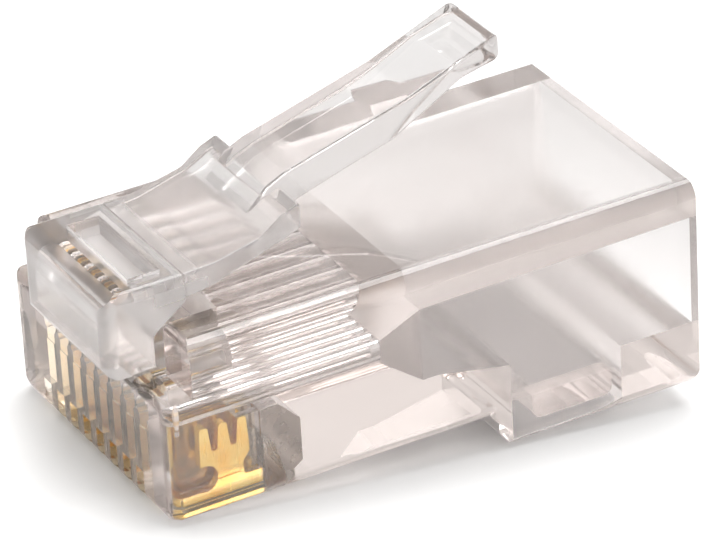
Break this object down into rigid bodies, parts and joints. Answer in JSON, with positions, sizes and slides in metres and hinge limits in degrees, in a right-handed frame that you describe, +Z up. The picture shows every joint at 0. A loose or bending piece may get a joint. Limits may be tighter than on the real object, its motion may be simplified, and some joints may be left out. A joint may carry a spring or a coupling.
{
  "type": "rj45 modular plug",
  "caption": "Clear modular network plug, not yet crimped, with gold contact blades, a spring latch with release tab and a rear cable entry.",
  "frame": {"origin": "under the middle of the plug's outline, in the plane of the foot's underside", "axes": "+X across the plug, +Y from the contact end to the cable end, +Z up towards the latch"},
  "size_m": [0.0116, 0.0222, 0.014],
  "materials": {
    "clear_plastic": "polished clear polycarbonate",
    "gold_plate": "bright gold plating on stamped bronze"
  },
  "bodies": {
    "body": {"housing": "clear_plastic", "contact_1": "gold_plate", "contact_2": "gold_plate", "contact_3": "gold_plate", "contact_4": "gold_plate", "contact_5": "gold_plate", "contact_6": "gold_plate", "contact_7": "gold_plate", "contact_8": "gold_plate"},
    "latch": {"latch": "clear_plastic"}
  },
  "joints": [
    {"name": "latch_press", "type": "hinge", "parent": "body", "child": "latch", "pos_m": [0, -0.00791, 0.00847], "axis": [-1, 0, 0], "range_deg": [0, 14], "stiffness_Nm_per_rad": 0.1}
  ]
}
